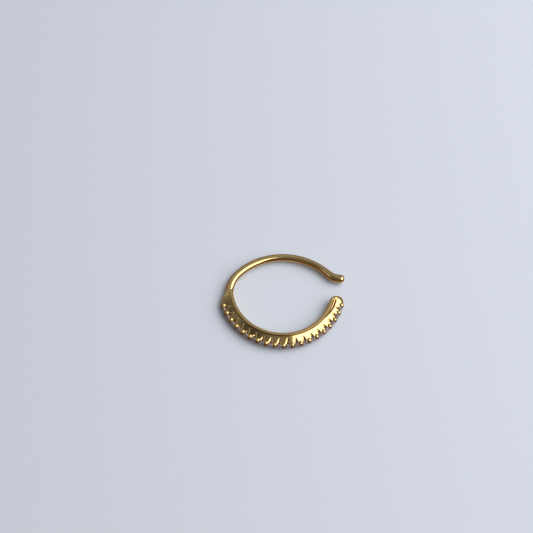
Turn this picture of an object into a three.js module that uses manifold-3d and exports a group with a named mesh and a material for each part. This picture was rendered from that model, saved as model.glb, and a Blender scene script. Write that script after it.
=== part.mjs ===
// An open ring for the rim of the ear, lying on its side: a stone-set band at the front,
// a plain round wire bent round the back and a small ball at the wire's free end.
import * as THREE from "three";
import { mergeVertices } from "three/addons/utils/BufferGeometryUtils.js";
import Module from "manifold-3d";

// Driving dimensions, in millimetres and degrees.
// Azimuths turn about the ring's axis, from 0 at the opening, positive towards the wire.
const hollowRadius = 5.6;
const bandWidth = 1.1;
const stationCount = 19;
const stationPitch = 8.1;
const lastStation = -12.2;
const noseAzimuth = -12;
const noseRadius = 0.79;
const shoulderStart = 200;
const shoulderEnd = 190;

const beadRadius = 0.24;
const beadCircle = 7.02;
const beadOffset = 0.25;
const notchApex = 6.58;
const notchRim = 7.08;
const notchHalfWidth = 0.24;
const channelFloor = 6.66;
const channelWidth = 0.4;

const stoneRadius = 0.42;
const tableRadius = 0.25;
const crownHeight = 0.14;
const girdleHeight = 0.04;
const pavilionDepth = 0.34;
const girdleCircle = 7.08;
const stoneClearance = 0.05;
const stripHeight = 0.07;

const wireDiameter = 0.84;
const ballDiameter = 1.0;
const wireHeading = 94.4;
const flareLength = 0.7;
const flareRadius = 0.52;

// The wire's bends from the band to the ball, left turns positive; a straight has a length.
const wireBends = [
  { name: "shoulder", radius: 3.69, turn: -45 },
  { name: "back", radius: 7.31, turn: -91.2 },
  { name: "last bend", radius: 1.35, turn: 36.3 },
  { name: "tip", length: 0.54 },
];

// Half of the band's cross-section, from the hollow outwards.
const bandRows = [
  { at: "inner wall", radius: hollowRadius, half: 0.42 },
  { at: "rail", radius: hollowRadius + 0.12, half: bandWidth / 2 },
  { at: "rail edge", radius: hollowRadius + 0.34, half: bandWidth / 2 },
  { at: "groove", radius: hollowRadius + 0.43, half: 0.47 },
  { at: "side face", radius: hollowRadius + 0.5, half: 0.51 },
  { at: "side face end", radius: hollowRadius + 1.28, half: 0.42 },
  { at: "rim", radius: hollowRadius + 1.52, half: 0.24 },
];

// How far cutting shapes run past the metal, inwards and outwards.
const planInside = hollowRadius - 0.3;
const planEdge = hollowRadius + 2;

// Facets of the curved surfaces.
const ringFacets = 72;
const wireSides = 12;
const wireSteps = 46;
const beadFacets = { around: 8, down: 4 };
const ballFacets = { around: 12, down: 9 };
const stoneSides = 8;
const noseFacets = 10;

const gold = { color: 0xb89a5a, roughness: 0.16, metalness: 1.0 };
const clearStone = { color: 0xeef0f4, roughness: 0.03, metalness: 0.0 };

const radians = THREE.MathUtils.degToRad;
const stationAzimuth = (index) => lastStation - (stationCount - 1 - index) * stationPitch;

const wasm = await Module();
wasm.setup();

function solidOf(geometry) {
  const bare = geometry.index ? geometry.toNonIndexed() : geometry.clone();
  bare.deleteAttribute("normal");
  bare.deleteAttribute("uv");
  const merged = mergeVertices(bare, 1e-5);
  const triVerts = new Uint32Array(merged.index.array);
  const vertProperties = new Float32Array(merged.attributes.position.array);
  return new wasm.Manifold(new wasm.Mesh({ numProp: 3, vertProperties, triVerts }));
}

function geometryOf(solid) {
  const { vertProperties, triVerts } = solid.getMesh();
  const geometry = new THREE.BufferGeometry();
  geometry.setAttribute("position", new THREE.BufferAttribute(vertProperties, 3));
  geometry.setIndex(new THREE.BufferAttribute(triVerts, 1));
  return geometry;
}

const joined = (solids) => solids.reduce((whole, piece) => whole.add(piece));

// A point of the plan at a radius and azimuth.
function planPoint(radius, azimuth) {
  const angle = radians(azimuth);
  return new THREE.Vector2(radius * Math.cos(angle), radius * Math.sin(angle));
}

// A full ring about the axis, alike above and below the middle plane, from rows of half of
// its cross-section that run outwards.
function ringSolid(rows) {
  const lower = rows.map((row) => new THREE.Vector2(row.radius, -row.half));
  const upper = rows.map((row) => new THREE.Vector2(row.radius, row.half)).reverse();
  const geometry = new THREE.LatheGeometry([...lower, ...upper, lower[0].clone()], ringFacets);
  geometry.rotateX(Math.PI / 2);
  return solidOf(geometry);
}

// A plan outline carried through the band's whole width and a little past it.
function planPrism(shape) {
  const geometry = new THREE.ExtrudeGeometry(shape, {
    depth: 2 * bandWidth,
    bevelEnabled: false,
    curveSegments: noseFacets,
  });
  geometry.translate(0, 0, -bandWidth);
  return solidOf(geometry);
}

// The band's plan: a round nose at the opening and a slanted shoulder at the wire.
function bandPlan() {
  const shape = new THREE.Shape();
  const nose = planPoint(hollowRadius + noseRadius, noseAzimuth);
  const noseIn = radians(noseAzimuth + 180);
  const noseOut = radians(noseAzimuth);
  const start = planPoint(planInside, noseAzimuth);
  shape.moveTo(start.x, start.y);
  shape.absarc(nose.x, nose.y, noseRadius, noseIn, noseOut, true);
  const outerStart = planPoint(planEdge, noseAzimuth);
  shape.lineTo(outerStart.x, outerStart.y);
  shape.absarc(0, 0, planEdge, radians(noseAzimuth), radians(shoulderStart - 360), true);
  const shoulderFoot = planPoint(hollowRadius + wireDiameter, shoulderEnd);
  shape.lineTo(shoulderFoot.x, shoulderFoot.y);
  const innerEnd = planPoint(planInside, shoulderEnd);
  shape.lineTo(innerEnd.x, innerEnd.y);
  shape.absarc(0, 0, planInside, radians(shoulderEnd), radians(360 + noseAzimuth), false);
  return shape;
}

// The band with its rail, groove and side faces, before the stones' places are cut.
function plainBand() {
  return ringSolid(bandRows).intersect(planPrism(bandPlan()));
}

// A strip of rectangular section round part of the ring, between two azimuths.
function arcStrip({ from, to, width, start, end }) {
  const half = width / 2;
  const ring = ringSolid([
    { radius: from, half },
    { radius: to, half },
  ]);
  const sector = new THREE.Shape();
  sector.absarc(0, 0, to + 1, radians(start), radians(end), false);
  sector.absarc(0, 0, from - 1, radians(end), radians(start), true);
  return ring.intersect(planPrism(sector));
}

// The channel that the stones lie in, open outwards, between the first and last prong.
function channelCut() {
  return arcStrip({
    from: channelFloor,
    to: planEdge,
    width: channelWidth,
    start: stationAzimuth(0),
    end: stationAzimuth(stationCount - 1),
  });
}

// A V-shaped cut straight through both side walls, below the middle of one stone.
function notchCut(azimuth) {
  const slope = notchHalfWidth / (notchRim - notchApex);
  const half = slope * (planEdge - notchApex);
  const shape = new THREE.Shape();
  shape.moveTo(notchApex, 0);
  shape.lineTo(planEdge, -half);
  shape.lineTo(planEdge, half);
  const cut = new THREE.ExtrudeGeometry(shape, { depth: 2 * bandWidth, bevelEnabled: false });
  cut.translate(0, 0, -bandWidth);
  cut.rotateZ(radians(azimuth));
  return solidOf(cut);
}

// One stone or, with a margin, its seat: a low crown over a pointed underside, facing outwards.
function stoneSolid(azimuth, margin) {
  const girdle = (girdleHeight + margin) / 2;
  const top = girdleHeight / 2 + crownHeight + margin;
  const rows = [
    new THREE.Vector2(0, -girdleHeight / 2 - pavilionDepth - margin),
    new THREE.Vector2(stoneRadius + margin, -girdle),
    new THREE.Vector2(stoneRadius + margin, girdle),
    new THREE.Vector2(tableRadius + margin, top),
    new THREE.Vector2(0, top),
  ];
  const geometry = new THREE.LatheGeometry(rows, stoneSides);
  geometry.rotateY(radians(180 / stoneSides));
  geometry.rotateZ(-Math.PI / 2);
  geometry.translate(girdleCircle, 0, 0);
  geometry.rotateZ(radians(azimuth));
  return solidOf(geometry);
}

// One rounded prong end, on the tooth between two stones.
function beadSolid(azimuth, side) {
  const geometry = new THREE.SphereGeometry(beadRadius, beadFacets.around, beadFacets.down);
  geometry.rotateX(Math.PI / 2);
  geometry.translate(beadCircle, 0, side * beadOffset);
  geometry.rotateZ(radians(azimuth));
  return solidOf(geometry);
}

// The wire's centre line: round bends and straights, one after the other, in the middle plane.
class BentWire extends THREE.Curve {
  constructor(start, heading, bends) {
    super();
    this.start = start;
    this.heading = heading;
    this.bends = bends;
    this.lengthOf = (bend) => bend.length ?? bend.radius * Math.abs(radians(bend.turn));
    this.total = bends.reduce((sum, bend) => sum + this.lengthOf(bend), 0);
  }

  getPoint(t, target = new THREE.Vector3()) {
    let left = t * this.total;
    let heading = this.heading;
    const at = this.start.clone();
    for (const bend of this.bends) {
      const length = Math.min(left, this.lengthOf(bend));
      const side = Math.sign(bend.turn ?? 0);
      const turned = bend.radius ? (side * length) / bend.radius : 0;
      const chord = bend.radius ? 2 * bend.radius * Math.sin(Math.abs(turned) / 2) : length;
      at.x += chord * Math.cos(heading + turned / 2);
      at.y += chord * Math.sin(heading + turned / 2);
      heading += turned;
      left -= length;
      if (left <= 0) break;
    }
    return target.set(at.x, at.y, 0);
  }
}

function circleShape(radius, sides) {
  const corners = Array.from({ length: sides }, (_, i) => {
    const angle = (2 * Math.PI * (i + 0.5)) / sides;
    return new THREE.Vector2(radius * Math.cos(angle), radius * Math.sin(angle));
  });
  return new THREE.Shape(corners);
}

// The round wire, the cone where it spreads into the band's end, and the ball.
function wireSolids() {
  const start = planPoint(hollowRadius + wireDiameter / 2, shoulderEnd);
  const route = new BentWire(start, radians(wireHeading), wireBends);
  const tube = new THREE.ExtrudeGeometry(circleShape(wireDiameter / 2, wireSides), {
    steps: wireSteps,
    extrudePath: route,
  });

  const flare = new THREE.CylinderGeometry(wireDiameter / 2, flareRadius, flareLength, wireSides);
  flare.rotateZ(radians(wireHeading - 90));
  const along = planPoint(flareLength / 4, wireHeading);
  flare.translate(start.x + along.x, start.y + along.y, 0);

  const ball = new THREE.SphereGeometry(ballDiameter / 2, ballFacets.around, ballFacets.down);
  ball.rotateX(Math.PI / 2);
  const end = route.getPoint(1);
  ball.translate(end.x, end.y, end.z);
  return [tube, flare, ball].map(solidOf);
}

const notchAzimuths = Array.from({ length: stationCount - 1 }, (_, i) => stationAzimuth(i + 0.5));

// Band, prongs, wire and ball are cast and soldered as one piece of metal.
function cuffBody() {
  const cuts = [channelCut(), ...notchAzimuths.map(notchCut)];
  const beads = [];
  for (let i = 0; i < stationCount; i += 1) {
    beads.push(beadSolid(stationAzimuth(i), 1), beadSolid(stationAzimuth(i), -1));
  }
  const seats = notchAzimuths.map((azimuth) => stoneSolid(azimuth, stoneClearance));
  const band = plainBand().subtract(joined(cuts)).add(joined(beads)).subtract(joined(seats));
  return joined([band, ...wireSolids()]);
}

// The paved surface: all the stones on one narrow strip that runs along the channel.
function stoneRow() {
  const strip = arcStrip({
    from: channelFloor + stoneClearance,
    to: channelFloor + stoneClearance + stripHeight,
    width: channelWidth - 2 * stoneClearance,
    start: notchAzimuths[0],
    end: notchAzimuths[notchAzimuths.length - 1],
  });
  const stones = notchAzimuths.map((azimuth) => stoneSolid(azimuth, 0));
  return joined([strip, ...stones]);
}

function namedMesh(name, solid, finish) {
  const mesh = new THREE.Mesh(geometryOf(solid), new THREE.MeshStandardMaterial(finish));
  mesh.name = name;
  return mesh;
}

const group = new THREE.Group();
group.add(namedMesh("cuff_body", cuffBody(), gold));
group.add(namedMesh("stone_row", stoneRow(), clearStone));

// The ring lies on its side, with the middle of its footprint at the origin.
const box = new THREE.Box3().setFromObject(group);
group.position.set(-(box.min.x + box.max.x) / 2, -(box.min.y + box.max.y) / 2, -box.min.z);
group.updateMatrixWorld(true);

export default group;
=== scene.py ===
"""Looks of a stone-set open ear cuff that lies on its side.

Sizes are worked out in millimetres about the ring's axis, with the band's middle plane at height 0,
and put into the row frame in metres at the end. Azimuths are in degrees about that axis.
"""

import math
from types import SimpleNamespace

import bmesh
import bpy
import numpy as np
from mathutils import Matrix, Vector


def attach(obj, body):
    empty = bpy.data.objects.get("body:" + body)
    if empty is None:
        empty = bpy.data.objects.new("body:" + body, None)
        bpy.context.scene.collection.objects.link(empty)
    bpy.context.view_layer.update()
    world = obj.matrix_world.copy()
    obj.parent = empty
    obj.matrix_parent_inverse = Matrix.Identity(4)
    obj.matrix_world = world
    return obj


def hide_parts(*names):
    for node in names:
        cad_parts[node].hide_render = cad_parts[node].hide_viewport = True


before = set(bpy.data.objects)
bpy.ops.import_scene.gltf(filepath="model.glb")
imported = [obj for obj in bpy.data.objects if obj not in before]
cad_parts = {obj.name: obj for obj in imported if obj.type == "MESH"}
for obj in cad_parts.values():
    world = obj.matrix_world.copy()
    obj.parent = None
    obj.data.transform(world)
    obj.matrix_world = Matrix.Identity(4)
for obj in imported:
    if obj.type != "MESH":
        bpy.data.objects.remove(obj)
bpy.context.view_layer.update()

MM = 0.001

# Points of a smooth piece that are closer than this are joined.
MERGE = 2e-4

# Where the ring's axis meets the floor, and how high the band's middle plane is.
RING_CENTRE = np.array([-0.1738, 1.3263, 0.0])
HALF_WIDTH = 0.55

# Band: radii about the ring's axis, and azimuths.
HOLLOW_RADIUS = 5.6
RAIL_EDGE = 5.96
RAIL_WIDTH = RAIL_EDGE - HOLLOW_RADIUS
PRONG_PAIRS = 19
PRONG_PITCH = 8.1
LAST_PRONG = -12.2
FIRST_PRONG = LAST_PRONG - (PRONG_PAIRS - 1) * PRONG_PITCH
NOSE_AZIMUTH = -11.3
NOSE_RADIUS = 0.79
NOSE_MIDDLE = HOLLOW_RADIUS + NOSE_RADIUS
NOSE_BLEND_START = -13.6
SHOULDER_TOP = -159.5
SHOULDER_CREASE = -166.0
SHOULDER_END = -178.0
SHOULDER_SLOPE = 0.24

# Fades along the band, each from the azimuth where it starts to the one where it is complete: the walls
# close at the nose and at the shoulder, the slots open, the second one moves outwards, the painted shade in
# the first slot gets darker from left to right, and the shoulder's section turns round.
NOSE_CLOSES = (-13.2, -12.4)
SHOULDER_CLOSES = (-158.8, -160.0)
FIRST_SLOT_OPENS = (-173.0, -166.0)
SECOND_SLOT_OPENS = (-36.0, -26.0)
SECOND_SLOT_MOVES = (-38.0, -16.0)
SHADE_DEEPENS = (-100.0, -50.0)
SHOULDER_ROUNDS = (-167.5, -177.0)

# V cuts in the side walls, and the channel that the stones sit in.
TOOTH_TIP = 7.1
NOTCH_APEX = 6.47
NOTCH_HALF = 0.29
NOTCH_ROUNDING = 0.03
NOTCH_CIRCLE = 6.9
CHANNEL_HALF = 0.2
CHANNEL_FLOOR = 6.6
CHANNEL_SINK = 0.05
WALL_LEAN = 0.16
# Painted shade on the open walls of the V cuts, at most this much.
WALL_SHADE = 0.5

# Shares of the way through the wall: where it reaches the channel's height, where it leans out most,
# between which two it goes in to the channel's floor, where it turns down from there, and how far the
# painted shade takes to deepen.
CHANNEL_SHARE = 0.33
LEAN_SHARE = 0.34
GOES_IN = (0.3, 0.76)
DOWN_SHARE = 0.75
SHADE_SHARE = 0.16

# Rail: how much lower its edges are than its middle, and over what width it falls to the side face.
RAIL_CROWN = 0.006
RAIL_FLANK = 0.06

# Side face: how much lower than the rail it starts, where it starts to lean, and how much it falls for
# each millimetre outwards.
FACE_DROP = 0.01
LEAN_START = 6.0
FACE_LEAN = 0.345

# Slots beside the rail: the first all along it, the second further out and only near the nose.
# Each has painted shade over a little more than its width. Both fade out between two steps past the
# nose's azimuth, short of its tip.
FIRST_SLOT = RAIL_EDGE + 0.05
FIRST_SLOT_HALF = 0.08
FIRST_DARK_HALF = 0.1
SECOND_SLOT_SHIFT = 0.25
SECOND_SLOT_HALF = 0.1
SECOND_DARK_HALF = 0.12
SLOT_DEPTH = 0.09
SLOT_SHADE = 2.2
LEFT_SHADE = 0.55
SLOTS_END = (0.12, 0.42)

# The ridge between the two slots falls outwards from its start.
RIDGE_START = RAIL_EDGE + 0.09
RIDGE_LENGTH = 0.22
RIDGE_FALL = 0.25
RIDGE_FOOT = 0.1

# Edges of the side face: the easing all along the outer edge, and the bevel along the V cuts, with the
# radii between which it fades in towards the cuts' apexes.
EASING_WIDTH = 0.07
EASING_DEPTH = 0.02
BEVEL_WIDTH = 0.22
BEVEL_DEPTH = 0.065
BEVEL_FADES_IN = (6.85, 6.6)

# Rounding of the hollow's edge, on the nose and along the band: its size, and the share of the full
# height that it starts from.
NOSE_FILLET = 0.14
NOSE_FILLET_START = 0.62
BAND_FILLET = 0.09
BAND_FILLET_START = 0.66

# Outlines by knots of azimuth and radius: the hollow's edge, the inner edge of the side face, and the
# shoulder from its end up to the first tooth.
HOLLOW_EDGE = [(SHOULDER_END, HOLLOW_RADIUS - 0.1), (-168.0, HOLLOW_RADIUS)]
FACE_START = [
    (-178.0, 6.32),
    (-170.0, 6.55),
    (-164.0, 6.8),
    (-156.0, 6.55),
    (-147.0, 6.33),
    (-135.0, 6.18),
    (-118.0, 6.12),
    (-60.0, 6.12),
    (-38.0, 6.16),
    (-28.0, 6.3),
    (-19.0, 6.4),
    (-12.0, 6.4),
]
SHOULDER_OUTLINE = [
    (-178.0, 6.34),
    (-174.0, 6.44),
    (-170.0, 6.58),
    (-165.5, 6.86),
    (-162.0, 7.07),
    (SHOULDER_TOP, TOOTH_TIP),
]

# The round end of the shoulder by azimuth: how far its middle is from the axis, and its own radius.
# It closes in a point a little further on.
WIRE_END_MIDDLE = 5.91
WIRE_MIDDLE = [(SHOULDER_END, WIRE_END_MIDDLE), (-174.0, 5.979), (-170.0, 6.03), (-166.0, 6.085)]
SHOULDER_ROUND = [(SHOULDER_END, 0.41), (-174.0, 0.45), (-170.0, 0.47)]
CLOSING_AZIMUTH = SHOULDER_END - 1.0

# The rail on the nose: its width by how far it has turned round, in degrees, from the turn where this
# width takes over, and the width of its flank. Then where the grid's stretches meet on the nose's
# chords, as shares of half a chord or of its step, and a shift.
NOSE_RAIL = [(0.0, RAIL_WIDTH), (60.0, 0.33), (90.0, 0.22), (120.0, 0.08), (150.0, 0.0)]
NOSE_RAIL_TURN = 25.0
NOSE_RAIL_FLANK = 0.12
NOSE_RAIL_SHARE = 0.55
NOSE_FACE_SHARE = 0.5
NOSE_FACE_SHIFT = 0.11

# Grid of the band: cuts across it, and the shares in which rows divide each stretch of a cut.
NOSE_CHORDS = 29
FIRST_CHORD = 87.0
LAST_CHORD = 3.0
CUTS_PER_PITCH = 24
SHOULDER_CUTS = 45
RAIL_SHARES = np.array([0.0, 0.006, 0.022, 0.05, 0.09, 0.14, 0.2, 0.28, 0.42, 0.58, 0.74, 0.88, 0.91])
GROOVE_SHARES = np.linspace(0.0, 1.0, 28)[:-1]
FACE_SHARES = np.array([0.0, 0.03, 0.08, 0.15, 0.24, 0.34, 0.45, 0.56, 0.67, 0.77, 0.85, 0.91, 0.96, 1.0])
WALL_ROWS = 12
INNER_ROWS = 6
CAP_SHARES = (0.25, 0.6, 1.0)

# Prong beads and stones.
BEAD_CIRCLE = 7.0
BEAD_LENGTH = 0.3
BEAD_RADIUS = 0.255
BEAD_LEAN = 20.0
BEAD_OFFSET = 0.13
BEAD_RINGS = 15
BEAD_SIDES = 20
# Painted shade on the seam where the two beads of a pair face each other.
BEAD_SEAM_SHADE = 0.95
SEAM_LEVELS = (0.4, -0.05)
SEAM_OUTWARD = (-0.1, 0.1)
STONE_CIRCLE = 7.08
STONE_RADIUS = 0.42
STONE_SEED = 7

# Cut of a stone: radii as shares of its own, and heights from the girdle's middle.
TABLE_SHARE = 0.55
TABLE_HEIGHT = 0.15
STAR_SHARE = 0.76
STAR_HEIGHT = 0.1
GIRDLE_HALF = 0.015
WAIST_SHARE = 0.45
WAIST_HEIGHT = -0.215
TIP_HEIGHT = -0.37

# Wire: start point, heading and bends of its centre line; left turns are positive.
WIRE_AZIMUTH = 190.0
WIRE_START_RADIUS = 6.03
WIRE_HEADING = 94.4
WIRE_BENDS = [(3.69, -45.0), (7.31, -91.2), (1.35, 36.3)]
WIRE_TIP = 0.54
WIRE_BURIED = 0.75
WIRE_SIDES = 64
WIRE_STEP = 0.07
FEWEST_STEPS = 12
BURIED_STEPS = 12
TIP_STEPS = 8
DOME_RINGS = 14
DOME_STRETCH = 0.92

# Thickness of the wire: its radius at distances from the buried end, then at distances before the tip.
WIRE_RADII = [
    (0.0, 0.28),
    (0.35, 0.37),
    (0.75, 0.44),
    (1.1, 0.462),
    (1.5, 0.458),
    (2.0, 0.445),
    (3.6, 0.432),
    (8.0, 0.415),
]
TIP_RADII = [(2.3, 0.41), (1.5, 0.43), (0.7, 0.465), (0.0, 0.475)]
SMOOTHING = 9

# Colours of the finishes, of painted shade, of the stones' painted pink reflection, of the card as metal
# mirrors it (a painted reflection) and of the table, and of the room.
LIGHT_GOLD = (0.88, 0.655, 0.3)
DARK_GOLD = (0.84, 0.61, 0.26)
PAINTED_SHADE_BROWN = (0.27, 0.14, 0.048)
PAINTED_STONE_REFLECTION = (0.98, 0.86, 0.82, 1)
CARD_DARK = (0.62, 0.66, 0.74)
CARD_LIGHT = (0.635, 0.675, 0.755)
PAINTED_CARD_REFLECTION = (0.21, 0.1, 0.045)
TABLE_IN_METAL = (0.085, 0.033, 0.012)
ROOM_GREY = (0.36, 0.385, 0.43)


def to_frame(points):
    """Ring millimetres to row-frame metres: shift by the ring's centre and the middle plane's height."""
    shift = RING_CENTRE + np.array([0.0, 0.0, HALF_WIDTH])
    return (np.asarray(points, float).reshape(-1, 3) + shift) * MM


def mesh_piece(name, points, faces, material, node, painted_shade=None, faceted=False):
    """Points and faces as one piece that rides on the cuff and shows in a CAD node's place.

    A smooth piece has its nearest points joined, which closes its seams and poles. A faceted one keeps
    every point, and its faces are turned outwards. painted_shade is how much painted shade each point
    gets, from 0 to 1, in the slots, on the walls of the V cuts and under the beads; the gold darkens there.
    """
    mesh = bpy.data.meshes.new(name)
    mesh.from_pydata(to_frame(points).tolist(), [], faces)
    if painted_shade is not None:
        values = mesh.attributes.new("painted_shade", "FLOAT", "POINT")
        values.data.foreach_set("value", np.asarray(painted_shade, float).ravel())
    shell = bmesh.new()
    shell.from_mesh(mesh)
    if faceted:
        bmesh.ops.recalc_face_normals(shell, faces=shell.faces)
    else:
        bmesh.ops.remove_doubles(shell, verts=shell.verts, dist=MERGE * MM)
        bmesh.ops.dissolve_degenerate(shell, edges=shell.edges, dist=MERGE * MM)
    shell.to_mesh(mesh)
    shell.free()
    mesh.polygons.foreach_set("use_smooth", [not faceted] * len(mesh.polygons))
    mesh.materials.append(material)
    piece = bpy.data.objects.new(name, mesh)
    bpy.context.scene.collection.objects.link(piece)
    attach(piece, "root")
    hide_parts(node)


def grid_quads(rows, columns):
    """Faces between neighbouring rows and columns of a grid whose last row joins its first."""
    i, j = np.meshgrid(np.arange(rows), np.arange(columns - 1), indexing="ij")
    here = i * columns + j
    below = (i + 1) % rows * columns + j
    return np.stack([here, here + 1, below + 1, below], -1).reshape(-1, 4)


def smooth_step(value, start, end):
    """0 up to start, 1 from end on and an S-curve between them; end may be the smaller of the two."""
    t = np.clip((value - start) / (end - start), 0.0, 1.0)
    return t * t * (3 - 2 * t)


def profile(place, knots):
    """Straight lines between knots, each a place and a value."""
    places, values = zip(*knots)
    return np.interp(place, places, values)


def unit_at(azimuth):
    """Outward and forward unit vectors of the plan at an azimuth: (cos a, sin a) and (-sin a, cos a)."""
    a = np.radians(azimuth)
    out = np.stack([np.cos(a), np.sin(a)], -1)
    forward = np.stack([-np.sin(a), np.cos(a)], -1)
    return out, forward


def outer_edge(azimuth):
    """Outer outline of the side walls, as a radius at each azimuth.

    Under each stone the radius grows from the apex of a V with the distance from its middle, up to the
    tooth tips. It grows further at the nose, and falls by knots down the shoulder.
    """
    along = (azimuth - LAST_PRONG) / PRONG_PITCH
    from_middle = np.abs(along - np.floor(along) - 0.5) * math.radians(PRONG_PITCH) * NOTCH_CIRCLE
    rounded = np.sqrt(from_middle**2 + NOTCH_ROUNDING**2) - NOTCH_ROUNDING
    slope = (TOOTH_TIP - NOTCH_APEX) / NOTCH_HALF
    cut = NOTCH_APEX + slope * rounded
    toothed = (azimuth < LAST_PRONG) & (azimuth > FIRST_PRONG)
    edge = np.where(toothed, np.minimum(cut, TOOTH_TIP), TOOTH_TIP)
    nose_reach = HOLLOW_RADIUS + 2 * NOSE_RADIUS - TOOTH_TIP
    edge = edge + nose_reach * smooth_step(azimuth, NOSE_BLEND_START, NOSE_AZIMUTH)
    return np.where(azimuth < SHOULDER_TOP, profile(azimuth, SHOULDER_OUTLINE), edge)


def band_cuts():
    """Cuts across the band, which are the columns of its grid, and the radii that each passes through.

    The first cuts are chords of the round nose, a step forward of its azimuth: its radius times the
    sine of an evenly shrinking angle. The others are at azimuths of their own, evenly spaced along the
    teeth and then down the shoulder. A cut runs from inner to outer; rail is the rail's outer edge, and
    face the side face's inner edge.
    """
    chord_angle = np.radians(np.concatenate([[90.0], np.linspace(FIRST_CHORD, LAST_CHORD, NOSE_CHORDS)]))
    chord_step = NOSE_RADIUS * np.sin(chord_angle)
    chord_half = NOSE_RADIUS * np.cos(chord_angle)
    inset = np.clip((NOSE_RADIUS - RAIL_WIDTH) ** 2 - chord_step**2, 0, None)
    chord_rail = np.maximum(NOSE_MIDDLE - np.sqrt(inset), NOSE_MIDDLE - NOSE_RAIL_SHARE * chord_half)
    face_shift = NOSE_FACE_SHIFT + NOSE_FACE_SHARE * chord_step
    chord_face = NOSE_MIDDLE + np.minimum(face_shift, NOSE_FACE_SHARE * chord_half)

    toothed_cuts = (PRONG_PAIRS - 1) * CUTS_PER_PITCH + 1
    teeth = LAST_PRONG - np.arange(toothed_cuts) * PRONG_PITCH / CUTS_PER_PITCH
    shoulder = np.linspace(FIRST_PRONG, SHOULDER_END, SHOULDER_CUTS + 1)[1:]
    azimuth = np.concatenate([[NOSE_AZIMUTH], teeth, shoulder])
    inner = profile(azimuth, HOLLOW_EDGE)
    chords = len(chord_angle)
    return SimpleNamespace(
        azimuth=np.concatenate([np.full(chords, NOSE_AZIMUTH), azimuth]),
        step=np.concatenate([chord_step, np.zeros(len(azimuth))]),
        on_nose=np.arange(chords + len(azimuth)) < chords,
        inner=np.concatenate([NOSE_MIDDLE - chord_half, inner]),
        rail=np.concatenate([chord_rail, inner + RAIL_WIDTH]),
        face=np.concatenate([chord_face, profile(azimuth, FACE_START)]),
        outer=np.concatenate([NOSE_MIDDLE + chord_half, outer_edge(azimuth)]),
    )


def slot(radius, middle, half_width, depth):
    """Depth of a V-shaped slot along the band: full at its middle, and none half_width away."""
    return depth * np.clip(1 - np.abs(radius - middle) / half_width, 0, 1)


def hollow_fillet(from_edge, on_nose):
    """Share of the full height near the hollow's edge: it rises from a start by a quarter circle."""
    size = np.where(on_nose, NOSE_FILLET, BAND_FILLET)
    start = np.where(on_nose, NOSE_FILLET_START, BAND_FILLET_START)
    rise = np.sqrt(np.clip(1 - (1 - np.clip(from_edge / size, 0, 1)) ** 2, 0, 1))
    return start + (1 - start) * rise


def side_face(cuts, closed):
    """Radius, height and painted shade of the rows over the rail, the slots and the side face.

    Height is the rail's slightly round top, and past the rail it blends into the side face, which falls
    evenly with radius. Near the nose the ridge between the two slots falls outwards as well. The
    hollow's edge is rounded over, and the outer edge is eased, and bevelled along the V cuts.
    """
    stretches = (
        (cuts.inner, cuts.rail, RAIL_SHARES),
        (cuts.rail, cuts.face, GROOVE_SHARES),
        (cuts.face, cuts.outer, FACE_SHARES),
    )
    radius = np.concatenate([low + (high - low) * shares[:, None] for low, high, shares in stretches])

    across = radius - NOSE_MIDDLE
    from_edge = np.where(cuts.on_nose, NOSE_RADIUS - np.hypot(across, cuts.step), radius - HOLLOW_RADIUS)
    turn = np.where(cuts.on_nose, np.degrees(np.arctan2(cuts.step, -across)), 0.0)
    nose_rail = profile(turn, NOSE_RAIL)
    past_rail = np.where(
        turn > NOSE_RAIL_TURN,
        smooth_step(from_edge, nose_rail, nose_rail + NOSE_RAIL_FLANK),
        smooth_step(from_edge, RAIL_WIDTH, RAIL_WIDTH + RAIL_FLANK),
    )

    short_of_tip = 1 - smooth_step(cuts.step, *SLOTS_END)
    first_strength = short_of_tip * smooth_step(cuts.azimuth, *FIRST_SLOT_OPENS)
    second_strength = short_of_tip * smooth_step(cuts.azimuth, *SECOND_SLOT_OPENS)
    second_slot = FIRST_SLOT + SECOND_SLOT_SHIFT * smooth_step(cuts.azimuth, *SECOND_SLOT_MOVES)
    past_ridge = np.clip(radius - RIDGE_START, 0.0, RIDGE_LENGTH)
    before_slot = np.clip((second_slot - radius) / RIDGE_FOOT + 0.5, 0, 1)

    rail_half = 0.5 * RAIL_WIDTH
    rail_top = HALF_WIDTH - RAIL_CROWN * ((from_edge - rail_half) / rail_half) ** 2
    face_top = HALF_WIDTH - FACE_DROP - FACE_LEAN * np.maximum(radius - LEAN_START, 0.0)
    face_top = face_top - RIDGE_FALL * second_strength * past_ridge * before_slot
    height = rail_top + (face_top - rail_top) * past_rail
    height -= first_strength * slot(radius, FIRST_SLOT, FIRST_SLOT_HALF, SLOT_DEPTH)
    height -= second_strength * slot(radius, second_slot, SECOND_SLOT_HALF, SLOT_DEPTH)
    height = height * hollow_fillet(from_edge, cuts.on_nose)

    to_outer = np.where(cuts.on_nose, 1.0, np.clip(cuts.outer - radius, 0, None))
    height -= EASING_DEPTH * np.clip(1 - to_outer / EASING_WIDTH, 0, 1) ** 2
    near_apex = smooth_step(radius, *BEVEL_FADES_IN) * (1 - closed)
    height -= BEVEL_DEPTH * np.clip(1 - to_outer / BEVEL_WIDTH, 0, 1) * near_apex

    # Painted shade in the slots; in the first slot it is lighter at the left end.
    deepening = LEFT_SHADE + (1 - LEFT_SHADE) * smooth_step(cuts.azimuth, *SHADE_DEEPENS)
    first_dark = first_strength * slot(radius, FIRST_SLOT, FIRST_DARK_HALF, SLOT_SHADE)
    second_dark = second_strength * slot(radius, second_slot, SECOND_DARK_HALF, SLOT_SHADE)
    dark = np.maximum(np.clip(first_dark, 0, 1) * deepening, np.clip(second_dark, 0, 1))
    return radius, height, dark


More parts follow.
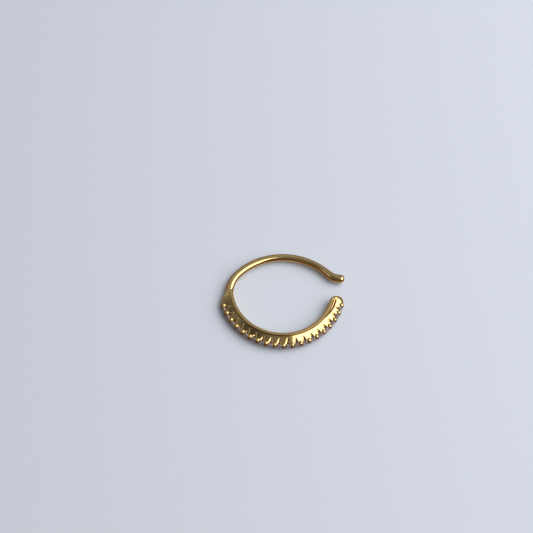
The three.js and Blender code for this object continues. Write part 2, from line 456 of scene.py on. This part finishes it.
def side_wall(cuts, closed, edge_height):
    """Radius, height and painted shade of the rows from the toothed edge to the band's middle plane.

    The wall goes down from the edge to the channel's height while it leans out, then in to the
    channel's floor, and down to the middle plane. Where it is closed it just goes straight down.
    """
    through = np.linspace(0.0, 1.0, WALL_ROWS + 1)[1:, None]
    to_channel = edge_height - (edge_height - CHANNEL_HALF) * through / CHANNEL_SHARE
    to_middle = CHANNEL_HALF * (1 - (through - DOWN_SHARE) / (1 - DOWN_SHARE))
    open_height = np.where(through < LEAN_SHARE, to_channel, CHANNEL_HALF)
    open_height = np.where(through > DOWN_SHARE, to_middle, open_height)
    closed_height = edge_height * (1 - through)
    height = open_height + (closed_height - open_height) * closed

    deepest = np.where(cuts.on_nose, cuts.outer, np.minimum(CHANNEL_FLOOR, cuts.outer - CHANNEL_SINK))
    floor = deepest + (cuts.outer - deepest) * closed
    leaning = np.minimum(cuts.outer + WALL_LEAN, np.maximum(cuts.outer, TOOTH_TIP))
    lean = np.clip(through / LEAN_SHARE, 0, 1) * (1 - closed)
    radius = cuts.outer + (leaning - cuts.outer) * lean
    radius = radius + (floor - radius) * smooth_step(through, *GOES_IN)
    # Painted shade on the open wall, just under the toothed edge.
    dark = WALL_SHADE * smooth_step(through, 0.0, SHADE_SHARE) * (1 - closed)
    return radius, height, dark


def shoulder_end(azimuth, radius, height):
    """Radius and height with the shoulder's slope and its end worked in.

    Past the crease the height shrinks evenly. Towards the end each point moves on to the wire's round
    section, at the angle that it has about the wire's middle.
    """
    slope_share = np.clip((SHOULDER_CREASE - azimuth) / (SHOULDER_CREASE - SHOULDER_END), 0, 1)
    height = height * (1 - SHOULDER_SLOPE * slope_share)
    wire_middle = profile(azimuth, WIRE_MIDDLE)
    section_angle = np.arctan2(height, radius - wire_middle)
    roundness = smooth_step(azimuth, *SHOULDER_ROUNDS)
    round_radius = profile(azimuth, SHOULDER_ROUND)
    radius = radius + (wire_middle + round_radius * np.cos(section_angle) - radius) * roundness
    height = height + (round_radius * np.sin(section_angle) - height) * roundness
    return radius, height


def setting_band(material):
    """The band as one closed grid: columns are its cuts, and rows go once round its section.

    Rows climb the inner wall, cross the rail and the side face to the toothed edge, go down the side
    wall to the middle plane, and come back the same way below it. The last columns shrink to a point
    in the middle of the wire.
    """
    cuts = band_cuts()
    closed = np.maximum(smooth_step(cuts.azimuth, *NOSE_CLOSES), smooth_step(cuts.azimuth, *SHOULDER_CLOSES))
    face_radius, face_height, face_dark = side_face(cuts, closed)
    wall_radius, wall_height, wall_dark = side_wall(cuts, closed, face_height[-1])

    climb = np.linspace(0.0, 1.0, INNER_ROWS + 1)[:-1, None]
    inner_height = face_height[0] * climb
    inner_radius = np.broadcast_to(cuts.inner, inner_height.shape)
    inner_dark = np.zeros(inner_height.shape)

    radius = np.concatenate([inner_radius, face_radius, wall_radius])
    height = np.concatenate([inner_height, face_height, wall_height])
    dark = np.concatenate([inner_dark, face_dark, wall_dark])
    radius, height = shoulder_end(cuts.azimuth, radius, height)

    out, forward = unit_at(cuts.azimuth)
    plan = cuts.step[:, None] * forward + radius[:, :, None] * out
    upper = np.concatenate([plan, height[:, :, None]], -1)
    lower = upper[-2:0:-1] * np.array([1.0, 1.0, -1.0])
    loop = np.concatenate([upper, lower])

    end = loop[:, -1:]
    point = np.append(unit_at(CLOSING_AZIMUTH)[0] * WIRE_END_MIDDLE, 0.0)
    loop = np.concatenate([loop] + [end + (point - end) * share for share in CAP_SHARES], 1)
    rows, columns = loop.shape[:2]
    # Painted shade for each point of the band; the cap at the wire's end gets none.
    painted_shade = np.zeros((rows, columns))
    painted_shade[:, : len(cuts.azimuth)] = np.concatenate([dark, dark[-2:0:-1]])
    faces = grid_quads(rows, columns).tolist()
    mesh_piece("setting_band", loop, faces, material, "cuff_body", painted_shade)


def wire_line():
    """Points and headings of the wire's centre line: a buried straight, three bends and a straight tip.

    Each stretch is a number of equal steps. A step of a bend is a chord, twice its radius times the
    sine of half its turn, along the middle of its turn. Points are the sums of the steps so far.
    """
    stretches = [(WIRE_BURIED / BURIED_STEPS, 0.0, BURIED_STEPS)]
    for radius, turn in WIRE_BENDS:
        angle = math.radians(turn)
        count = max(FEWEST_STEPS, int(abs(angle) * radius / WIRE_STEP))
        stretches.append((2 * radius * math.sin(abs(angle) / count / 2), angle / count, count))
    stretches.append((WIRE_TIP / TIP_STEPS, 0.0, TIP_STEPS))

    lengths, turns, counts = zip(*stretches)
    lengths = np.repeat(lengths, counts)
    turns = np.repeat(turns, counts)
    heading = math.radians(WIRE_HEADING) + np.concatenate([[0.0], np.cumsum(turns)])
    middle = heading[:-1] + turns / 2
    steps = lengths[:, None] * np.stack([np.cos(middle), np.sin(middle)], -1)
    buried = WIRE_BURIED * np.array([np.cos(heading[0]), np.sin(heading[0])])
    start = unit_at(WIRE_AZIMUTH)[0] * WIRE_START_RADIUS - buried
    return start + np.concatenate([[[0.0, 0.0]], np.cumsum(steps, axis=0)]), heading


def bent_wire(material):
    """A round tube swept along the wire's line: middle + r (cos a sideways + sin a up).

    r follows its knots, smoothed by a running mean, and closes to nothing at the buried end and over
    the tip, where the line runs on by the sine of an angle and r shrinks by its cosine.
    """
    line, heading = wire_line()
    along = np.concatenate([[0.0], np.cumsum(np.hypot(*np.diff(line, axis=0).T))])
    from_tip = [(along[-1] - back, radius) for back, radius in TIP_RADII]
    radius = profile(along, WIRE_RADII + from_tip)
    padded = np.pad(radius, SMOOTHING // 2, mode="edge")
    radius = np.convolve(padded, np.ones(SMOOTHING) / SMOOTHING, mode="valid")

    dome = np.radians(np.linspace(0, 90, DOME_RINGS + 1)[1:])
    ahead = np.array([math.cos(heading[-1]), math.sin(heading[-1])])
    dome_line = line[-1] + radius[-1] * DOME_STRETCH * np.sin(dome)[:, None] * ahead
    line = np.concatenate([line[:1], line, dome_line])
    heading = np.concatenate([heading[:1], heading, np.full(len(dome), heading[-1])])
    radius = np.concatenate([[0.0], radius, radius[-1] * np.cos(dome)])

    around = 2 * np.pi * np.arange(WIRE_SIDES) / WIRE_SIDES
    sideways = np.stack([np.sin(heading), -np.cos(heading)], -1)
    plan = line[None] + (radius * np.cos(around)[:, None])[:, :, None] * sideways
    height = radius * np.sin(around)[:, None]
    points = np.concatenate([plan, height[:, :, None]], -1)
    faces = grid_quads(WIRE_SIDES, len(line))[:, ::-1].tolist()
    mesh_piece("bent_wire", points, faces, material, "cuff_body")


def at_stations(azimuths, shape, circle, height):
    """A shape, or one for each azimuth, set on a circle: circle + x outward, y forward, z up from height."""
    shapes = np.broadcast_to(shape, (len(azimuths),) + shape.shape[-2:])
    out, forward = unit_at(azimuths)
    outward = circle * out[:, None] + shapes[:, :, :1] * out[:, None]
    plan = outward + shapes[:, :, 1:2] * forward[:, None]
    return np.concatenate([plan, shapes[:, :, 2:] + height], -1)


def prong_beads(material):
    """Prong ends, one on each side wall between two stones.

    Each is an ellipsoid, (length cos t, radius cos a sin t, radius sin a sin t), leaning down outwards
    as the side face does. Where the two of a pair face each other, outwards, they get painted shade.
    """
    tilt = np.linspace(0, np.pi, BEAD_RINGS)
    around = 2 * np.pi * np.arange(BEAD_SIDES) / BEAD_SIDES
    lean = math.radians(BEAD_LEAN)
    along = np.broadcast_to(BEAD_LENGTH * np.cos(tilt), (BEAD_SIDES, BEAD_RINGS))
    across = BEAD_RADIUS * np.cos(around)[:, None] * np.sin(tilt)
    rise = BEAD_RADIUS * np.sin(around)[:, None] * np.sin(tilt)
    outward = along * math.cos(lean) + rise * math.sin(lean)
    upward = rise * math.cos(lean) - along * math.sin(lean)
    shape = np.stack([outward, across, upward], -1).reshape(-1, 3)
    mirrored = shape * np.array([1.0, 1.0, -1.0])
    stations = LAST_PRONG - np.arange(PRONG_PAIRS) * PRONG_PITCH
    upper = at_stations(stations, shape, BEAD_CIRCLE, BEAD_OFFSET)
    lower = at_stations(stations, mirrored, BEAD_CIRCLE, -BEAD_OFFSET)
    points = np.concatenate([upper, lower])

    quads = grid_quads(BEAD_SIDES, BEAD_RINGS)
    firsts = len(shape) * np.arange(2 * PRONG_PAIRS)[:, None, None]
    faces = np.concatenate([quads + firsts[:PRONG_PAIRS], quads[:, ::-1] + firsts[PRONG_PAIRS:]])
    level = shape[:, 2] / BEAD_RADIUS
    # Painted shade on each bead's outward side where it faces its pair.
    seam = smooth_step(level, *SEAM_LEVELS) * smooth_step(shape[:, 0], *SEAM_OUTWARD)
    painted_shade = np.broadcast_to(BEAD_SEAM_SHADE * seam, points.shape[:2])
    faces = faces.reshape(-1, 4).tolist()
    mesh_piece("prong_beads", points, faces, material, "cuff_body", painted_shade)


def brilliant(folds=8):
    """One round stone: table, eight-fold crown with star and kite facets, thin girdle, pavilion to a point.

    Points lie on rings at fixed heights, and the rings are turned by half a step against each other, so
    that the faces between them are the cutter's triangles. x is outward, from the girdle's middle.
    """

    def ring(radius_share, height, turn, count=folds):
        angle = 2 * np.pi / count * (np.arange(count) + turn)
        radius = radius_share * STONE_RADIUS
        return np.stack([np.full(count, height), radius * np.cos(angle), radius * np.sin(angle)], -1)

    rings = [
        ring(TABLE_SHARE, TABLE_HEIGHT, 0.5),
        ring(STAR_SHARE, STAR_HEIGHT, 0.0),
        ring(1.0, GIRDLE_HALF, 0.0, 2 * folds),
        ring(1.0, -GIRDLE_HALF, 0.0, 2 * folds),
        ring(WAIST_SHARE, WAIST_HEIGHT, 0.5),
        np.array([[TIP_HEIGHT, 0.0, 0.0]]),
    ]
    table, star, upper, lower, waist, tip = np.cumsum([0] + [len(points) for points in rings[:-1]]).tolist()
    faces = [[table + k for k in range(folds)]]
    for k in range(folds):
        ahead = (k + 1) % folds
        behind = (k - 1) % folds
        girdle = [2 * k, 2 * k + 1, 2 * ahead]
        a, b, c = [upper + k for k in girdle]
        low_a, low_b, low_c = [lower + k for k in girdle]
        faces += [
            [table + behind, star + k, table + k],
            [table + k, star + k, b],
            [table + k, b, star + ahead],
            [star + k, a, b],
            [star + ahead, b, c],
            [a, low_a, low_b, b],
            [b, low_b, low_c, c],
            [low_a, waist + k, low_b],
            [low_b, waist + k, low_c],
            [low_a, waist + behind, waist + k],
            [waist + k, waist + behind, tip],
        ]
    return np.concatenate(rings), faces


def round_stones(material):
    """Round stones facing outwards, one midway between every two prong pairs, each turned by chance."""
    shape, faces = brilliant()
    middles = LAST_PRONG - (np.arange(PRONG_PAIRS - 1) + 0.5) * PRONG_PITCH
    turns = np.random.default_rng(STONE_SEED).uniform(0, 2 * np.pi, len(middles))
    c, s = np.cos(turns)[:, None], np.sin(turns)[:, None]
    x, y, z = shape.T
    turned = np.stack([np.broadcast_to(x, (len(turns), len(x))), y * c - z * s, y * s + z * c], -1)
    points = at_stations(middles, turned, STONE_CIRCLE, 0.0)
    firsts = len(shape) * np.arange(len(middles))
    all_faces = [[int(first) + v for v in face] for first in firsts for face in faces]
    mesh_piece("round_stones", points, all_faces, material, "stone_row", faceted=True)


def new_material(name):
    """A node material: itself, its node tree, its Principled shader and its Object coordinates."""
    material = bpy.data.materials.new(name)
    material.use_nodes = True
    tree = material.node_tree
    place = tree.nodes.new("ShaderNodeTexCoord")
    return material, tree, tree.nodes["Principled BSDF"], place.outputs["Object"]


def feed(tree, socket, value):
    """Links a socket's value to an input, or sets the input to a plain number or colour."""
    if isinstance(value, bpy.types.NodeSocket):
        tree.links.new(value, socket)
    else:
        socket.default_value = value


def noise(tree, place, scale, detail=2.0):
    """Cloudy noise from 0 to 1 at a place."""
    cloud = tree.nodes.new("ShaderNodeTexNoise")
    feed(tree, cloud.inputs["Vector"], place)
    feed(tree, cloud.inputs["Scale"], scale)
    feed(tree, cloud.inputs["Detail"], detail)
    return cloud.outputs["Fac"]


def arithmetic(tree, operation, *values):
    """One operation, such as ADD or MULTIPLY, on numbers or sockets."""
    node = tree.nodes.new("ShaderNodeMath")
    node.operation = operation
    for socket, value in zip(node.inputs, values):
        feed(tree, socket, value)
    return node.outputs[0]


def ramp(tree, value, low, high, start=0.0, end=1.0, interpolation="LINEAR"):
    """Low before start, high after end, and a straight line or an S-curve between them."""
    node = tree.nodes.new("ShaderNodeMapRange")
    node.interpolation_type = interpolation
    feed(tree, node.inputs["Value"], value)
    feed(tree, node.inputs["From Min"], start)
    feed(tree, node.inputs["From Max"], end)
    feed(tree, node.inputs["To Min"], low)
    feed(tree, node.inputs["To Max"], high)
    return node.outputs["Result"]


def blend(tree, share, first, second):
    """The first colour where share is 0 and the second where it is 1; each is a colour or a socket."""
    mix = tree.nodes.new("ShaderNodeMix")
    mix.data_type = "RGBA"
    feed(tree, mix.inputs["Factor"], share)
    feed(tree, mix.inputs["A"], (*first, 1) if isinstance(first, tuple) else first)
    feed(tree, mix.inputs["B"], (*second, 1) if isinstance(second, tuple) else second)
    return mix.outputs["Result"]


def bump(tree, height, strength, distance, normal=None):
    """Normal tilted by the slope of a height, on top of another normal if there is one."""
    node = tree.nodes.new("ShaderNodeBump")
    feed(tree, node.inputs["Height"], height)
    feed(tree, node.inputs["Strength"], strength)
    feed(tree, node.inputs["Distance"], distance)
    if normal is not None:
        feed(tree, node.inputs["Normal"], normal)
    return node.outputs["Normal"]


def polish_marks_group():
    """Wear of polished metal: broad cloudiness, and a height of fine hairlines two ways.

    Hairlines are noise whose place is stretched two ways out of three and turned, each way once.
    """
    group = bpy.data.node_groups.new("polish marks", "ShaderNodeTree")
    face = group.interface
    face.new_socket("Position", in_out="INPUT", socket_type="NodeSocketVector")
    face.new_socket("Hairline strength", in_out="INPUT", socket_type="NodeSocketFloat")
    face.new_socket("Cloud", in_out="OUTPUT", socket_type="NodeSocketFloat")
    face.new_socket("Height", in_out="OUTPUT", socket_type="NodeSocketFloat")
    source = group.nodes.new("NodeGroupInput")
    target = group.nodes.new("NodeGroupOutput")
    position = source.outputs["Position"]

    heights = []
    for turn, stretch in ((0.5, 22.0), (-0.9, 16.0)):
        place = group.nodes.new("ShaderNodeMapping")
        feed(group, place.inputs["Vector"], position)
        feed(group, place.inputs["Rotation"], (0.3, 0.2, turn))
        feed(group, place.inputs["Scale"], (1.0, stretch, stretch))
        heights.append(noise(group, place.outputs["Vector"], scale=700.0))
    hairlines = arithmetic(group, "ADD", *heights)
    height = arithmetic(group, "MULTIPLY", hairlines, source.outputs["Hairline strength"])
    feed(group, target.inputs["Cloud"], noise(group, position, scale=900.0, detail=4.0))
    feed(group, target.inputs["Height"], height)
    return group


def gold_material(marks):
    """Polished gold: two close tones by cloudiness, roughness that follows it, hairlines and a cast ripple.

    The painted_shade attribute mixes in brown painted shade and adds to the roughness.
    """
    material, tree, shader, position = new_material("polished gold")
    wear = tree.nodes.new("ShaderNodeGroup")
    wear.node_tree = marks
    feed(tree, wear.inputs["Position"], position)
    feed(tree, wear.inputs["Hairline strength"], 0.5)
    cloud = wear.outputs["Cloud"]
    depth = tree.nodes.new("ShaderNodeAttribute")
    depth.attribute_name = "painted_shade"
    painted_shade = depth.outputs["Fac"]

    tone = blend(tree, cloud, DARK_GOLD, LIGHT_GOLD)
    # Painted shade: the gold turns brown where the painted_shade attribute is high.
    feed(tree, shader.inputs["Base Color"], blend(tree, painted_shade, tone, PAINTED_SHADE_BROWN))
    gloss = ramp(tree, cloud, low=0.05, high=0.11)
    shade_dulls = 0.2
    feed(tree, shader.inputs["Roughness"], arithmetic(tree, "MULTIPLY_ADD", painted_shade, shade_dulls, gloss))
    ripple = bump(tree, noise(tree, position, scale=3600.0), strength=0.1, distance=0.00002)
    marked = bump(tree, wear.outputs["Height"], strength=0.06, distance=0.000004, normal=ripple)
    feed(tree, shader.inputs["Normal"], marked)
    feed(tree, shader.inputs["Metallic"], 1.0)
    return material


def stone_material():
    """Clear cut stone with a painted pink reflection of gold: mostly light that passes through, with faint
    cloud in its gloss.
    """
    material, tree, shader, position = new_material("clear stone")
    gloss = ramp(tree, noise(tree, position, scale=2500.0), low=0.0, high=0.03)
    feed(tree, shader.inputs["Roughness"], gloss)
    # The pink is a painted reflection of the gold around the stone.
    feed(tree, shader.inputs["Base Color"], PAINTED_STONE_REFLECTION)
    feed(tree, shader.inputs["IOR"], 2.1)
    feed(tree, shader.inputs["Transmission Weight"], 0.82)
    return material


def floor_material():
    """Pale cool card with a very faint grain, and a painted brown reflection of shade where metal mirrors it
    from a millimetre or more away.
    """
    material, tree, shader, position = new_material("pale card")
    card = blend(tree, noise(tree, position, scale=1500.0, detail=3.0), CARD_DARK, CARD_LIGHT)
    # Painted reflection: rays mirrored by metal see the card dark brown, standing in for shade.
    path = tree.nodes.new("ShaderNodeLightPath")
    away = ramp(tree, path.outputs["Ray Length"], low=0.0, high=1.0, start=0.0006, end=0.0012)
    mirrored = arithmetic(tree, "MULTIPLY", path.outputs["Is Glossy Ray"], away)
    feed(tree, shader.inputs["Base Color"], blend(tree, mirrored, card, PAINTED_CARD_REFLECTION))
    feed(tree, shader.inputs["Roughness"], 0.7)
    feed(tree, shader.inputs["Specular IOR Level"], 0.2)
    return material


def lay_floor(material):
    """A flat square floor, 1.2 metres wide, at the height that the cuff lies on."""
    half = 0.6
    corners = [(-half, -half, 0), (half, -half, 0), (half, half, 0), (-half, half, 0)]
    mesh = bpy.data.meshes.new("floor")
    mesh.from_pydata(corners, [], [(0, 1, 2, 3)])
    mesh.materials.append(material)
    floor = bpy.data.objects.new("floor", mesh)
    bpy.context.scene.collection.objects.link(floor)


def direction(elevation, azimuth):
    """Unit vector towards a place in the sky, from its elevation and azimuth in degrees."""
    e, a = math.radians(elevation), math.radians(azimuth)
    return Vector((math.cos(e) * math.cos(a), math.cos(e) * math.sin(a), math.sin(e)))


def soft_box(name, elevation, azimuth, roll, half_height, half_length, radiance, mirrored=True):
    """A far rectangular light seen from the cuff in a direction, rolled, with its half sizes in degrees.

    One that is not mirrored lights the card and the cuff, and metal and stones don't show its shape.
    """
    metres_away = 0.35
    light = bpy.data.lights.new(name, "AREA")
    light.shape = "RECTANGLE"
    light.size = 2 * metres_away * math.tan(math.radians(half_length))
    light.size_y = 2 * metres_away * math.tan(math.radians(half_height))
    light.energy = radiance * math.pi * light.size * light.size_y
    lamp = bpy.data.objects.new(name, light)
    towards = direction(elevation, azimuth)
    place = Vector(RING_CENTRE * MM) + towards * metres_away
    level = Vector((0.0, 0.0, 1.0)).cross(towards).normalized()
    rise = towards.cross(level)
    long_axis = level * math.cos(math.radians(roll)) - rise * math.sin(math.radians(roll))
    short_axis = towards.cross(long_axis)
    turned = Matrix([long_axis, short_axis, towards]).transposed().to_4x4()
    lamp.matrix_world = Matrix.Translation(place) @ turned
    lamp.visible_glossy = mirrored
    lamp.visible_transmission = mirrored
    bpy.context.scene.collection.objects.link(lamp)


def studio_sky():
    """Dim room: grey, lighter behind the cuff than in front, with a dark patch above and a pale one at left.

    Near the horizon and low in front it is the brown of a table. The camera sees one plain grey.
    """
    world = bpy.data.worlds.new("studio")
    world.use_nodes = True
    tree = world.node_tree
    place = tree.nodes.new("ShaderNodeTexCoord")

    def lobe(towards, start, end, low, high):
        """Low to high, by an S-curve, as the cosine of the angle to a direction goes from start to end."""
        dot = tree.nodes.new("ShaderNodeVectorMath")
        dot.operation = "DOT_PRODUCT"
        feed(tree, dot.inputs[0], place.outputs["Generated"])
        feed(tree, dot.inputs[1], towards)
        return ramp(tree, dot.outputs["Value"], low, high, start, end, "SMOOTHSTEP")

    up = (0.0, 0.0, 1.0)
    back = (0.0, 1.0, 0.0)
    front_left = (-0.42, -0.907, 0.0)
    depth = lobe(back, start=-0.8, end=0.8, low=0.13, high=0.34)
    dark_patch = lobe(direction(68.0, 170.0), start=0.9, end=0.975, low=1.0, high=0.3)
    pale_patch = lobe(direction(45.0, -165.0), start=0.93, end=0.99, low=0.0, high=0.5)
    grey = arithmetic(tree, "ADD", arithmetic(tree, "MULTIPLY", depth, dark_patch), pale_patch)
    low_down = lobe(up, start=0.4, end=0.7, low=1.0, high=0.0)
    in_front = lobe(front_left, start=0.0, end=0.45, low=0.0, high=1.0)
    horizon = lobe(up, start=0.16, end=0.3, low=0.9, high=0.0)
    table = arithmetic(tree, "MAXIMUM", arithmetic(tree, "MULTIPLY", low_down, in_front), horizon)
    room = blend(tree, table, grey, TABLE_IN_METAL)
    path = tree.nodes.new("ShaderNodeLightPath")
    seen = blend(tree, path.outputs["Is Camera Ray"], room, ROOM_GREY)
    feed(tree, tree.nodes["Background"].inputs["Color"], seen)
    bpy.context.scene.world = world


def place_camera():
    """The photograph's view: from above and in front, a long lens, turned a little about its line of sight.

    The line of sight is (0, cos e, -sin e) at elevation e, and the picture's axes are turned by the roll.
    """
    elevation = math.radians(62.0)
    roll = math.radians(4.281)
    distance = 130.0
    focal_pixels = 1121.0
    frame_pixels = 533.0
    sensor = 36.0

    # Half a pixel's width where the cuff is.
    half_pixel = 0.058
    look_at = np.array([-1.880, 3.078, 0.0]) + RING_CENTRE
    ahead = np.array([0.0, math.cos(elevation), -math.sin(elevation)])
    right = np.array([1.0, 0.0, 0.0])
    up = np.array([0.0, math.sin(elevation), math.cos(elevation)])
    image_right = right * math.cos(roll) + up * math.sin(roll)
    image_up = -right * math.sin(roll) + up * math.cos(roll)
    spot = look_at - ahead * distance - half_pixel * image_right + half_pixel * image_up
    camera_data = bpy.data.cameras.new("camera")
    camera_data.sensor_width = sensor
    camera_data.lens = focal_pixels * sensor / frame_pixels
    camera_data.clip_start = 0.001
    camera = bpy.data.objects.new("camera", camera_data)
    axes = Matrix([list(image_right), list(image_up), list(-ahead)]).transposed().to_4x4()
    camera.matrix_world = Matrix.Translation(Vector(spot * MM)) @ axes
    bpy.context.scene.collection.objects.link(camera)
    bpy.context.scene.camera = camera


place_camera()
gold = gold_material(polish_marks_group())
setting_band(gold)
bent_wire(gold)
prong_beads(gold)
round_stones(stone_material())
lay_floor(floor_material())
soft_box(
    "large soft box",
    elevation=44.0,
    azimuth=-6.0,
    roll=20.0,
    half_height=28.0,
    half_length=35.0,
    radiance=2.1,
)
soft_box(
    "fill",
    elevation=50.0,
    azimuth=40.0,
    roll=0.0,
    half_height=24.0,
    half_length=24.0,
    radiance=2.0,
    mirrored=False,
)
studio_sky()
bpy.context.scene.view_settings.view_transform = "Standard"
